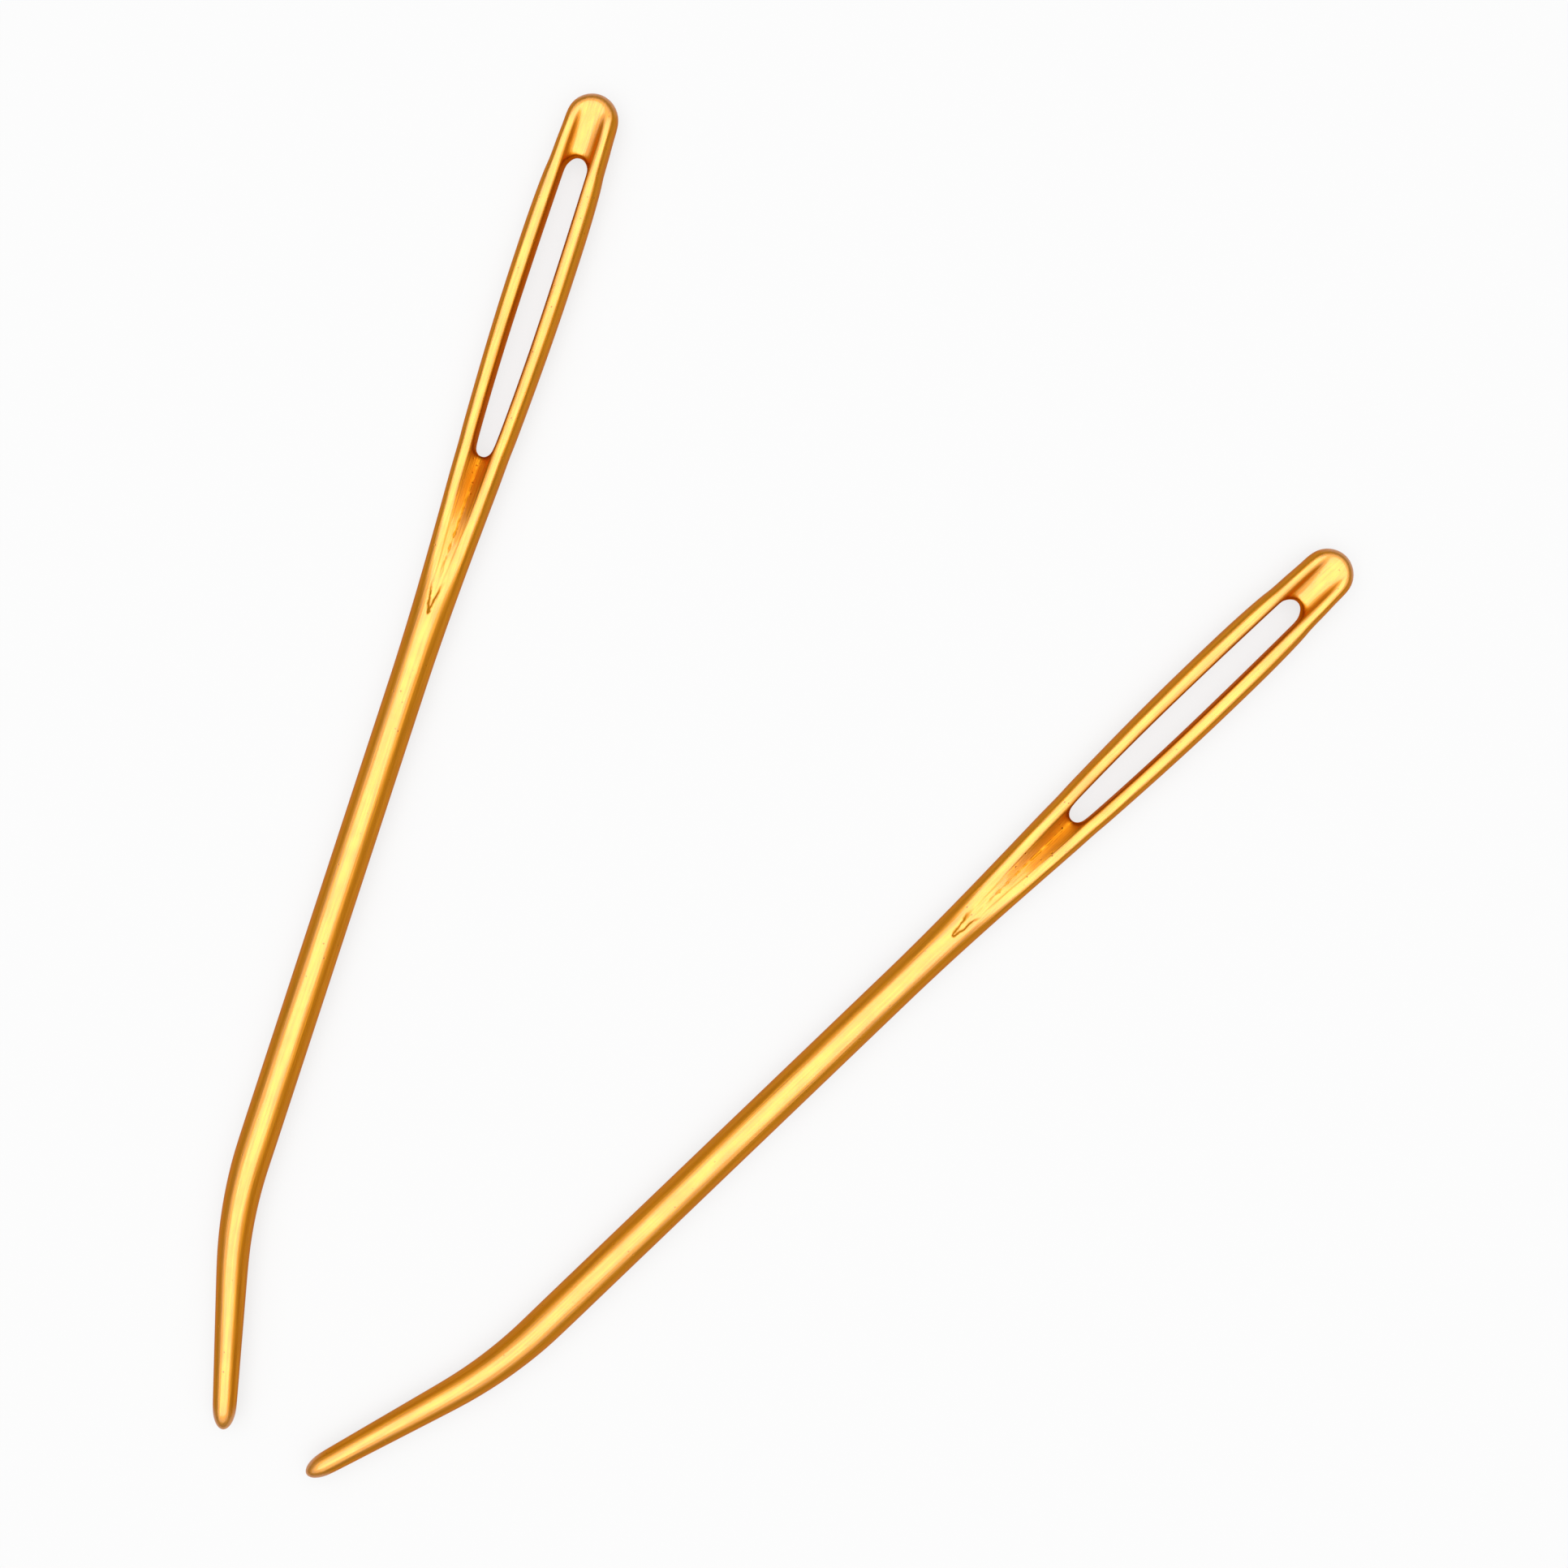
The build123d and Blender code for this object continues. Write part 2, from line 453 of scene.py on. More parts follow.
    def bend_tip(self) -> None:
        """Carry the lower end round the bend, then draw it out to a taper with a round nose."""
        wire = self.wire
        turn = math.radians(wire.bend_angle) / self.bend_steps
        centre = Vector((wire.bend_radius, wire.bend_start, 0))
        arm = Vector((-wire.bend_radius, 0, 0))
        radius = wire.radius
        for step in range(1, self.bend_steps + 1):
            before = centre + Matrix.Rotation(turn * (step - 1), 3, "Z") @ arm
            here = centre + Matrix.Rotation(turn * step, 3, "Z") @ arm
            self.grow(here - before)
            bpy.ops.transform.rotate(value=-turn, orient_axis="Z", center_override=tuple(here))
            radius = self.narrow(here, radius, self.taper(step / self.bend_steps))
        along = Matrix.Rotation(math.radians(wire.bend_angle), 3, "Z") @ Vector((0, -1, 0))
        straight = wire.tip_length - wire.nose_length
        for reach in spread(0, straight, self.taper_steps):
            self.grow(along * straight / self.taper_steps)
            here += along * straight / self.taper_steps
            end = wire.tip_root_radius + (wire.tip_end_radius - wire.tip_root_radius) * reach / straight
            radius = self.narrow(here, radius, end)
        risen = 0.0
        for angle in self.dome_angles:
            rise = wire.nose_length * math.sin(math.radians(angle))
            self.grow(along * (rise - risen))
            here += along * (rise - risen)
            risen = rise
            radius = self.narrow(here, radius, wire.tip_end_radius * math.cos(math.radians(angle)))

    def taper(self, share: float) -> float:
        """Radius of the wire at a share of the bend."""
        return self.wire.radius + (self.wire.tip_root_radius - self.wire.radius) * share

    def narrow(self, centre: Vector, before: float, after: float) -> float:
        """Scale the selected ring about its centre.

        Args:
            centre: Middle of the ring.
            before: Its radius now.
            after: The radius that it gets.

        Returns:
            The new radius.
        """
        scale = after / before
        bpy.ops.transform.resize(value=(scale, scale, scale), center_override=tuple(centre))
        return after

    def eye_places(self) -> list[float]:
        """Places of the rings from the flare to the end of the head.

        Returns:
            The places in order.
        """
        end = self.eye.end_radius
        return [
            *spread(self.flare_start, self.gutter_start, self.flare_steps),
            *spread(self.gutter_start, self.slot_foot, self.gutter_steps),
            *spread(self.slot_foot, self.slot_top, self.slot_steps),
            *spread(self.slot_top, self.shoulder, self.head_steps),
            *[self.shoulder + end * math.sin(math.radians(angle)) for angle in self.dome_angles],
        ]

    def press_eye(self) -> None:
        """Draw the upper end out ring by ring, and press each ring to its section."""
        here = self.flare_start
        for place in self.eye_places():
            self.select_ring(here)
            self.grow(Vector((0, place - here, 0)))
            for band in range(self.bands + 1):
                self.press_band(here, place, band)
            here = place

    def press_band(self, before: float, place: float, band: int) -> None:
        """Scale one band of a new ring from the last ring's section to its own.

        Args:
            before: Place of the ring that it was drawn from.
            place: Place of the ring.
            band: Number of the band.
        """
        old_side, old_height = self.ring_point(before, band)
        side, height = self.ring_point(place, band)
        across = side / old_side if band < self.bands else 1
        upward = height / old_height if band > 0 else 1
        self.select_ring(place, band)
        bpy.ops.transform.resize(value=(across, 1, upward), center_override=(0, place, 0))

    def fold_gutter(self) -> None:
        """Crease the bottom of the lower gutter, where the press folds the metal into a V."""
        lines = (self.gutter_start + self.nearness, self.slot_foot + self.nearness)
        self.select(lambda vertex, number: number == self.bands and lines[0] < vertex.co.y < lines[1])
        bpy.ops.transform.edge_crease(value=self.fold_crease)

    def pierce_slot(self) -> None:
        """Cut the slot through the web and join the rims of the two faces with walls."""
        inside = self.nearness
        mesh = bmesh.from_edit_mesh(bpy.context.edit_object.data)
        band = mesh.verts.layers.int["band"]
        bpy.ops.mesh.select_mode(type="FACE")
        bpy.ops.mesh.select_all(action="DESELECT")
        for face in mesh.faces:
            middle = face.calc_center_median()
            within = self.slot_foot - inside < middle.y < self.slot_top + inside
            if within and all(vertex[band] >= self.wall_band for vertex in face.verts):
                face.select_set(True)
        bmesh.update_edit_mesh(bpy.context.edit_object.data)
        bpy.ops.mesh.bridge_edge_loops(number_cuts=1)
        bpy.ops.mesh.select_mode(type="VERT")

    def round_slot_ends(self) -> None:
        """Bow the rings at both ends of the slot so that its ends come out round."""
        radii = (self.eye.slot_foot_radius, self.eye.slot_top_radius)
        for end, way, radius in zip((self.slot_foot, self.slot_top), (1, -1), radii):
            for band in range(self.bands):
                side = self.ring_point(end, band)[0]
                bow = radius - math.sqrt(max(radius**2 - side**2, 0))
                self.select_ring(end, band)
                bpy.ops.transform.translate(value=(0, way * bow, 0))

    def make(self) -> bpy.types.Object:
        """Model the needle.

        Returns:
            The finished needle, still along its own Y axis.
        """
        needle = self.start_wire()
        self.draw_shaft()
        self.bend_tip()
        self.press_eye()
        self.fold_gutter()
        self.round_slot_ends()
        self.pierce_slot()
        self.close_up(needle)
        self.mark_surface(needle)
        return needle

    def close_up(self, needle: bpy.types.Object) -> None:
        """Turn the faces outwards, then smooth the cage into the finished surface.

        Args:
            needle: The needle, still in edit mode.
        """
        bpy.ops.mesh.select_all(action="SELECT")
        bpy.ops.mesh.normals_make_consistent(inside=False)
        bpy.ops.object.mode_set(mode="OBJECT")
        smoothing = needle.modifiers.new("smoothing", "SUBSURF")
        smoothing.levels = self.smooth_levels
        smoothing.render_levels = self.smooth_levels
        bpy.ops.object.modifier_apply(modifier=smoothing.name)
        needle.data.attributes.remove(needle.data.attributes["band"])
        bpy.ops.object.shade_smooth()

    def wire_place(self, point: Vector) -> Vector:
        """Where a point would be if the bent tip were straight.

        Args:
            point: Point of the needle, along its own Y axis.

        Returns:
            Its place across, along and above the straightened wire.
        """
        bend = math.radians(self.wire.bend_angle)
        centre = Vector((self.wire.bend_radius, self.wire.bend_start, 0))
        arm = Vector((point.x, point.y, 0)) - centre
        turn = math.atan2(-arm.y, -arm.x)
        if turn <= 0:
            return point.copy()
        if turn <= bend:
            across = self.wire.bend_radius - arm.length
            return Vector((across, self.wire.bend_start - self.wire.bend_radius * turn, point.z))
        inward = Vector((math.cos(bend), math.sin(bend), 0))
        onward = Vector((math.sin(bend), -math.cos(bend), 0))
        across = self.wire.bend_radius + arm.dot(inward)
        along = self.wire.bend_start - self.wire.bend_radius * bend - arm.dot(onward)
        return Vector((across, along, point.z))

    def hollow_share(self, place: Vector, normal: Vector) -> float:
        """How deep in the gutter or the slot a point lies, which the finish paints as shade.

        Args:
            place: The point's place on the straightened wire.
            normal: Which way the surface faces there.

        Returns:
            0 outside and on the flat of the head's trough, 1 at the web and on the walls of the slot.
        """
        if self.gutter_share(place.y) == 0:
            return 0.0
        top = self.half_thickness(place.y)
        inner = self.gutter_half_width(place.y)
        crest = (self.half_width(place.y) + inner) / 2
        inward = min(max((crest - abs(place.x)) / (crest - inner), 0), 1)
        depth = min(max((top - abs(place.z)) / (top - self.eye.web_half_thickness), 0), 1)
        share = self.gutter_share(place.y) * inward * math.sqrt(depth)
        return share * (1 - self.flatness(normal)) if place.y > self.widest else share

    def flatness(self, normal: Vector) -> float:
        """How nearly level the surface lies, from 0 on a steep side to 1 where it is level.

        Args:
            normal: Which way the surface faces.

        Returns:
            The flatness.
        """
        return ease((abs(normal.z) - self.steep_normal) / (1 - self.steep_normal))

    def level_share(self, place: Vector, normal: Vector) -> float:
        """How level a point lies, or how near an end it is, for the painted highlight and the coat.

        Args:
            place: The point's place on the straightened wire.
            normal: Which way the surface faces there.

        Returns:
            1 where the surface lies flat and at the two ends, falling to 0 on the sides.
        """
        end = ease((abs(place.y) - self.shoulder) / self.eye.end_radius)
        return max(self.flatness(normal), end)

    def mark_surface(self, needle: bpy.types.Object) -> None:
        """Store each vertex's place on the wire, how hollow it is and how level it lies, for the finish's
        painted shade, painted highlight and coat.

        Args:
            needle: The finished needle, still along its own Y axis.
        """
        places = [self.wire_place(vertex.co) for vertex in needle.data.vertices]
        vectors = needle.data.attributes.new(Mark.PLACE.value, "FLOAT_VECTOR", "POINT")
        vectors.data.foreach_set("vector", [part / MILLIMETRE for place in places for part in place])
        normals = [vertex.normal for vertex in needle.data.vertices]
        for mark, share in ((Mark.HOLLOW, self.hollow_share), (Mark.RUB, self.level_share)):
            values = needle.data.attributes.new(mark.value, "FLOAT", "POINT")
            values.data.foreach_set("value", [share(*spot) for spot in zip(places, normals)])


@dataclass(frozen=True)
class LinePattern:
    """Fine lines along the wire, with pitches in patterns to the millimetre."""

    pitch: tuple[float, float, float] = (9.0, 0.25, 9.0)
    detail: float = 3.0
    patch_pitch: float = 0.35
    patch_detail: float = 2.0
    fine_weight: float = 3.0
    contrast: tuple[float, float] = (1.2, 2.8)
    darkness: float = 0.14
    depth: float = 0.3


@dataclass(frozen=True)
class PitPattern:
    """Small pits, with pitches in patterns to the millimetre."""

    pitch: float = 1.9
    size: float = 0.16
    patch_pitch: float = 0.9
    patch_detail: float = 1.0
    contrast: tuple[float, float] = (0.5, 0.62)
    darkness: float = 0.35
    dullness: float = 0.3


@dataclass(frozen=True)
class PolishAndHighlightPattern:
    """Uneven polish and a painted highlight on level faces, with its pitch in patterns to the millimetre."""

    pitch: float = 0.8
    detail: float = 4.0
    contrast: tuple[float, float] = (0.35, 0.65)
    least: float = 0.35
    # painted highlight: how much paler gold the level faces get
    painted_paleness: float = 0.6
    smoothing: float = 0.06


@dataclass(frozen=True)
class PressMarksAndCreaseShade:
    """Lengths and strengths of the V folds and the lines along the lower gutter's bottom and edges, painted
    as shade in these creases, in millimetres.
    """

    fold_slope: float = 0.17
    fold_width: float = 0.16
    fold_fade: tuple[float, float] = (1.3, 2.6)
    fold_depth: float = 0.6
    waver: float = 0.12
    waver_pitch: float = 1.6
    waver_detail: float = 2.0
    line_width: float = 0.09
    line_start: tuple[float, float] = (1.5, 4.0)
    line_strength: float = 0.5
    edge_reach: tuple[float, float] = (0.25, 0.68)
    edge_strength: float = 0.7


@dataclass(frozen=True)
class GoldFinish:
    """Colours, polish and marks of the gold anodised metal, with painted shade in the hollows and a painted
    highlight on level faces.
    """

    gold: tuple[float, float, float] = (0.60, 0.225, 0.008)
    # painted shade: deeper, redder gold in the gutter and on the slot walls
    painted_shade_gold: tuple[float, float, float] = (0.52, 0.126, 0.003)
    # painted highlight: paler gold on the level faces and the ends
    painted_highlight_gold: tuple[float, float, float] = (0.62, 0.258, 0.012)
    edge_tint: tuple[float, float, float] = (0.72, 0.38, 0.14)
    shade: float = 0.25
    polished: float = 0.36
    satin: float = 0.48
    coat_least: float = 0.12
    coat_roughness: float = 0.12
    coat_ior: float = 1.65
    relief: float = 0.02 * MILLIMETRE
    lines: LinePattern = LinePattern()
    pits: PitPattern = PitPattern()
    polish_and_highlight: PolishAndHighlightPattern = PolishAndHighlightPattern()
    marks: PressMarksAndCreaseShade = PressMarksAndCreaseShade()


@dataclass
class Tree:
    """Short hand for wiring up the nodes of a material or a node group."""

    nodes: bpy.types.Nodes
    links: bpy.types.NodeLinks

    @classmethod
    def of(cls, tree: bpy.types.NodeTree) -> "Tree":
        """Wrap a node tree."""
        return cls(tree.nodes, tree.links)

    def add(self, kind: str, **settings: object) -> bpy.types.Node:
        """Add a node.

        Args:
            kind: Blender's name of its type.
            settings: Properties to set on it.

        Returns:
            The new node.
        """
        node = self.nodes.new(kind)
        for name, value in settings.items():
            setattr(node, name, value)
        return node

    def feed(self, socket: bpy.types.NodeSocket, value: object) -> None:
        """Link a socket to another one, or set its value.

        Args:
            socket: The input.
            value: An output socket, or a plain value.
        """
        if isinstance(value, bpy.types.NodeSocket):
            self.links.new(value, socket)
        else:
            socket.default_value = value

    def math(self, operator: Operator, *values: object) -> bpy.types.NodeSocket:
        """Add a Math node.

        Args:
            operator: What it works out.
            values: Its inputs, each a socket or a number.

        Returns:
            Its output.
        """
        node = self.add("ShaderNodeMath", operation=operator.value)
        for socket, value in zip(node.inputs, values):
            self.feed(socket, value)
        return node.outputs[0]

    def remap(
        self, value: bpy.types.NodeSocket, start: float, end: float, low: float, high: float
    ) -> bpy.types.NodeSocket:
        """Map a value smoothly from one range to another.

        Args:
            value: The value.
            start: Where its own range starts.
            end: Where its own range ends.
            low: What the start becomes.
            high: What the end becomes.

        Returns:
            The mapped value.
        """
        node = self.add("ShaderNodeMapRange", interpolation_type="SMOOTHSTEP")
        for socket, number in zip(node.inputs, (value, start, end, low, high)):
            self.feed(socket, number)
        return node.outputs["Result"]

    def noise(self, vector: bpy.types.NodeSocket, scale: float, detail: float) -> bpy.types.NodeSocket:
        """Add a Noise texture.

        Args:
            vector: Where it is looked up.
            scale: Its scale.
            detail: Its detail.

        Returns:
            Its value.
        """
        node = self.add("ShaderNodeTexNoise")
        self.feed(node.inputs["Vector"], vector)
        node.inputs["Scale"].default_value = scale
        node.inputs["Detail"].default_value = detail
        return node.outputs["Fac"]

    def stretched(
        self, vector: bpy.types.NodeSocket, pitch: tuple[float, float, float]
    ) -> bpy.types.NodeSocket:
        """Scale a vector by a pitch for each axis.

        Args:
            vector: The vector.
            pitch: How often the pattern repeats along each axis.

        Returns:
            The scaled vector.
        """
        node = self.add("ShaderNodeVectorMath", operation="MULTIPLY")
        self.feed(node.inputs[0], vector)
        node.inputs[1].default_value = pitch
        return node.outputs[0]

    def mix(self, share: object, first: object, second: object) -> bpy.types.NodeSocket:
        """Mix two colours.

        Args:
            share: How much of the second colour.
            first: The first colour.
            second: The second colour.

        Returns:
            The mixed colour.
        """
        node = self.add("ShaderNodeMix", data_type="RGBA")
        self.feed(node.inputs[0], share)
        self.feed(node.inputs[6], first)
        self.feed(node.inputs[7], second)
        return node.outputs[2]


def start_group(name: str, inputs: Iterable[str], output: str) -> tuple[Tree, bpy.types.Node, bpy.types.Node]:
    """Start a shader node group with vector or value inputs and one value output.

    Args:
        name: Name of the group.
        inputs: Names of its inputs, of which one called Place is a vector.
        output: Name of its output.

    Returns:
        The group's tree, its input node and its output node.
    """
    group = bpy.data.node_groups.new(name, "ShaderNodeTree")
    for label in inputs:
        kind = "NodeSocketVector" if label == "Place" else "NodeSocketFloat"
        group.interface.new_socket(label, in_out="INPUT", socket_type=kind)
    group.interface.new_socket(output, in_out="OUTPUT", socket_type="NodeSocketFloat")
    tree = Tree.of(group)
    return tree, tree.add("NodeGroupInput"), tree.add("NodeGroupOutput")


@dataclass
class GoldMaterial:
    """The needle's gold material, with drawn lines, pits, press marks painted as crease shade, and polish
    with a painted highlight as shared groups.
    """

    finish: GoldFinish
    shape: NeedleMesh

    def drawn_lines(self) -> bpy.types.NodeTree:
        """Fine lines along the wire, left by the drawing die and the polishing.

        Returns:
            The group.
        """
        tree, start, end = start_group("drawn_lines", ["Place"], "Lines")
        lines = self.finish.lines
        fine = tree.noise(tree.stretched(start.outputs["Place"], lines.pitch), 1.0, lines.detail)
        broad = tree.noise(start.outputs["Place"], lines.patch_pitch, lines.patch_detail)
        both = tree.math(Operator.ADD, tree.math(Operator.MULTIPLY, fine, lines.fine_weight), broad)
        tree.feed(end.inputs["Lines"], tree.remap(both, *lines.contrast, 0.0, 1.0))
        return end.id_data

    def handling_pits(self) -> bpy.types.NodeTree:
        """Small pits, scattered thinly over the metal and more thickly in the hollows.

        Returns:
            The group.
        """
        tree, start, end = start_group("handling_pits", ["Place", "Hollow"], "Pits")
        pits = self.finish.pits
        cells = tree.add("ShaderNodeTexVoronoi")
        tree.feed(cells.inputs["Vector"], start.outputs["Place"])
        cells.inputs["Scale"].default_value = pits.pitch
        spots = tree.remap(cells.outputs["Distance"], 0.0, pits.size, 1.0, 0.0)
        patches = tree.noise(start.outputs["Place"], pits.patch_pitch, pits.patch_detail)
        thinning = tree.remap(patches, *pits.contrast, 0.0, 1.0)
        kept = tree.math(Operator.ADD, thinning, start.outputs["Hollow"])
        tree.feed(end.inputs["Pits"], tree.math(Operator.MULTIPLY, spots, kept))
        return end.id_data

    def press_marks_and_crease_shade(self) -> bpy.types.NodeTree:
        """Short folds in a V where the gutter starts, and thin lines at its bottom and its edges, all painted
        as shade in these creases.

        Returns:
            The group.
        """
        tree, start, end = start_group("press_marks_and_crease_shade", ["Place"], "Folds")
        parts = tree.add("ShaderNodeSeparateXYZ")
        tree.feed(parts.inputs[0], start.outputs["Place"])
        root = self.shape.gutter_start / MILLIMETRE
        foot = self.shape.slot_foot / MILLIMETRE - root
        past = tree.math(Operator.SUBTRACT, parts.outputs["Y"], root)
        side = tree.math(Operator.ABSOLUTE, parts.outputs["X"])
        marks = self.finish.marks
        waver = tree.noise(start.outputs["Place"], marks.waver_pitch, marks.waver_detail)
        ragged = tree.remap(waver, 0.0, 1.0, -marks.waver, marks.waver)
        fold_side = tree.math(Operator.MULTIPLY, past, marks.fold_slope)
        folds = self.line(tree, side, fold_side, ragged, marks.fold_width)
        folds = tree.math(Operator.MULTIPLY, folds, tree.remap(past, *marks.fold_fade, 1.0, 0.0))
        edge = tree.remap(past, 0.0, foot, *marks.edge_reach)
        edges = self.line(tree, side, edge, 0.0, marks.line_width)
        bottom = self.line(tree, side, 0.0, ragged, marks.line_width)
        lines = tree.math(Operator.ADD, tree.math(Operator.MULTIPLY, edges, marks.edge_strength), bottom)
        above = tree.remap(past, *marks.line_start, 0.0, marks.line_strength)
        below = tree.remap(past, foot, foot + marks.fold_width, 1.0, 0.0)
        lines = tree.math(Operator.MULTIPLY, tree.math(Operator.MULTIPLY, lines, above), below)
        both = tree.math(Operator.ADD, folds, lines)
        kept = tree.remap(past, 0.0, marks.fold_width, 0.0, 1.0)
        tree.feed(end.inputs["Folds"], tree.math(Operator.MULTIPLY, both, kept))
        return end.id_data

    def line(
        self, tree: Tree, side: object, centre: object, ragged: object, width: float
    ) -> bpy.types.NodeSocket:
        """Draw a line with soft edges on both sides of the wire's middle.

        Args:
            tree: The group's tree.
            side: Distance to the side of the wire's middle, in millimetres.
            centre: Where the line's own middle lies.
            ragged: How far it wavers there.
            width: Half its width.

        Returns:
            1 on the line, 0 off it.
        """
        off_line = tree.math(Operator.SUBTRACT, side, tree.math(Operator.ADD, centre, ragged))
        return tree.remap(tree.math(Operator.ABSOLUTE, off_line), 0.0, width, 1.0, 0.0)

    def polish_and_highlight_patches(self) -> bpy.types.NodeTree:
        """Uneven polish and a painted highlight on the level crests and the ends, in patches.

        Returns:
            The group.
        """
        tree, start, end = start_group("polish_and_highlight_patches", ["Place", "Rub"], "PolishAndHighlight")
        polish_and_highlight = self.finish.polish_and_highlight
        patches = tree.remap(
            tree.noise(start.outputs["Place"], polish_and_highlight.pitch, polish_and_highlight.detail), *polish_and_highlight.contrast, polish_and_highlight.least, 1.0
        )
        tree.feed(end.inputs["PolishAndHighlight"], tree.math(Operator.MULTIPLY, patches, start.outputs["Rub"]))
        return end.id_data

    def make(self) -> bpy.types.Material:
        """Wire up the material.

        Returns:
            The material.
        """
        material = bpy.data.materials.new("gold_anodised_metal")
        material.use_nodes = True
        tree = Tree.of(material.node_tree)
        shader = tree.nodes["Principled BSDF"]
        marks = {mark: tree.add("ShaderNodeAttribute", attribute_name=mark.value) for mark in Mark}
        place = marks[Mark.PLACE].outputs["Vector"]
        lines, pits, folds, polish_and_highlight = (
            self.use(tree, group, place)
            for group in (self.drawn_lines(), self.handling_pits(), self.press_marks_and_crease_shade(), self.polish_and_highlight_patches())
        )
        tree.feed(polish_and_highlight.inputs["Rub"], marks[Mark.RUB].outputs["Fac"])
        tree.feed(pits.inputs["Hollow"], marks[Mark.HOLLOW].outputs["Fac"])
        dark = tree.math(Operator.MULTIPLY, pits.outputs[0], self.finish.pits.darkness)
        # painted shade: the press marks darken the V folds, the gutter's bottom crease and its edges
        dark = tree.math(Operator.ADD, folds.outputs[0], dark)
        streaks = tree.remap(lines.outputs[0], 0.0, 1.0, 0.0, self.finish.lines.darkness)
        dark = tree.math(Operator.ADD, dark, streaks)
        self.colour(tree, shader, marks[Mark.HOLLOW].outputs["Fac"], polish_and_highlight.outputs[0], dark)
        self.polish(tree, shader, lines.outputs[0], pits.outputs[0], polish_and_highlight.outputs[0])
        self.engrave(tree, shader, lines.outputs[0], pits.outputs[0], folds.outputs[0])
        shader.inputs["Metallic"].default_value = 1.0
        gloss = tree.remap(marks[Mark.RUB].outputs["Fac"], 0.0, 1.0, self.finish.coat_least, 1.0)
        dull = tree.math(Operator.ADD, dark, marks[Mark.HOLLOW].outputs["Fac"])
        coat = tree.math(Operator.MULTIPLY, gloss, tree.remap(dull, 0.0, 1.0, 1.0, 0.0))
        tree.feed(shader.inputs["Coat Weight"], coat)
        shader.inputs["Specular Tint"].default_value = (*self.finish.edge_tint, 1)
        shader.inputs["Coat Roughness"].default_value = self.finish.coat_roughness
        shader.inputs["Coat IOR"].default_value = self.finish.coat_ior
        return material

    def use(self, tree: Tree, group: bpy.types.NodeTree, place: bpy.types.NodeSocket) -> bpy.types.Node:
        """Put a group into the material.

        Args:
            tree: The material's tree.
            group: The group.
            place: The place on the wire, which every group reads.

        Returns:
            The group's node.
        """
        node = tree.add("ShaderNodeGroup", node_tree=group)
        tree.feed(node.inputs["Place"], place)
        return node

    def colour(self, tree: Tree, shader: bpy.types.Node, hollow: object, polish_and_highlight: object, dark: object) -> None:
        """Paint shade into the hollows and the press marks, darken the pits and drawn lines, and paint a
        paler highlight on level faces.

        Args:
            tree: The material's tree.
            shader: Its shader.
            hollow: How hollow the place is, which sets the painted shade there.
            polish_and_highlight: How much painted highlight the place gets.
            dark: How much the painted crease shade of the press marks, the pits and the drawn lines darken
                it.
        """
        # painted shade: the hollows take the deeper, redder gold
        deep = tree.mix(hollow, (*self.finish.gold, 1), (*self.finish.painted_shade_gold, 1))
        # painted highlight: level faces and the ends take a paler gold, in patches
        pale = tree.math(Operator.MULTIPLY, polish_and_highlight, self.finish.polish_and_highlight.painted_paleness)
        with_painted_highlight = tree.mix(pale, deep, (*self.finish.painted_highlight_gold, 1))
        shade = tuple(part * self.finish.shade for part in self.finish.gold)
        tree.feed(shader.inputs["Base Color"], tree.mix(dark, with_painted_highlight, (*shade, 1)))

    def polish(self, tree: Tree, shader: bpy.types.Node, lines: object, pits: object, polish_and_highlight: object) -> None:
        """Roughen the metal along the drawn lines and in the pits, and polish it on the level faces and the
        ends, in patches.

        Args:
            tree: The material's tree.
            shader: Its shader.
            lines: The drawn lines.
            pits: The pits.
            polish_and_highlight: How much polish the place gets.
        """
        streaks = tree.remap(lines, 0.0, 1.0, self.finish.polished, self.finish.satin)
        dull = tree.math(Operator.MULTIPLY, pits, self.finish.pits.dullness)
        rough = tree.math(Operator.ADD, streaks, dull)
        rubbed = tree.math(Operator.MULTIPLY, polish_and_highlight, self.finish.polish_and_highlight.smoothing)
        tree.feed(shader.inputs["Roughness"], tree.math(Operator.SUBTRACT, rough, rubbed))

    def engrave(self, tree: Tree, shader: bpy.types.Node, lines: object, pits: object, folds: object) -> None:
        """Give the lines, pits and folds their slight depth.

        Args:
            tree: The material's tree.
            shader: Its shader.
            lines: The drawn lines.
            pits: The pits.
            folds: Where the press folded the metal.
        """
        folded = tree.math(Operator.MULTIPLY, folds, self.finish.marks.fold_depth)
        ridges = tree.math(Operator.MULTIPLY, lines, self.finish.lines.depth)
        height = tree.math(Operator.SUBTRACT, ridges, tree.math(Operator.ADD, pits, folded))
        bump = tree.add("ShaderNodeBump")
        tree.feed(bump.inputs["Height"], height)
        bump.inputs["Strength"].default_value = 1.0
        bump.inputs["Distance"].default_value = self.finish.relief
        tree.feed(shader.inputs["Normal"], bump.outputs["Normal"])


